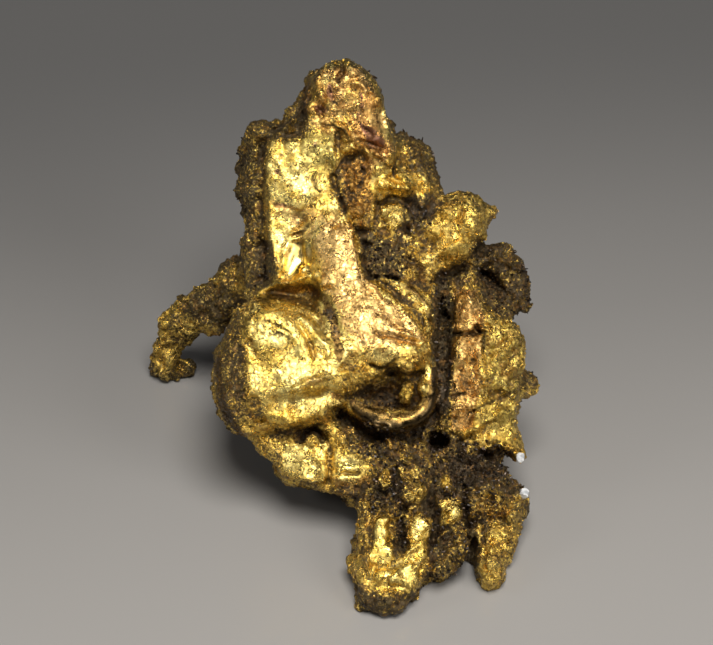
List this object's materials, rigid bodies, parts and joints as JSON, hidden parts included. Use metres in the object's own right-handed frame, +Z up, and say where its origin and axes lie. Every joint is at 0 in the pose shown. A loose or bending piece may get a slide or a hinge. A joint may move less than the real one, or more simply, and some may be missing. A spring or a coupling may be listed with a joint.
{
  "type": "native copper nugget",
  "caption": "Rough metal nugget with a round boss, a folded face, a tall peak and a side arm, standing on its feet; a display specimen.",
  "frame": {"origin": "on the table, under the middle of the nugget's box", "axes": "+Z up from the table, +Y away from the forward feet along the nugget's length, +X across its broad face"},
  "size_m": [0.0442, 0.0516, 0.0413],
  "materials": {
    "native_copper": "natural metal, golden on the raised skin, coppery in places and dark with oxide in the hollows"
  },
  "bodies": {
    "root": {"copper_nugget": "native_copper"}
  },
  "joints": []
}
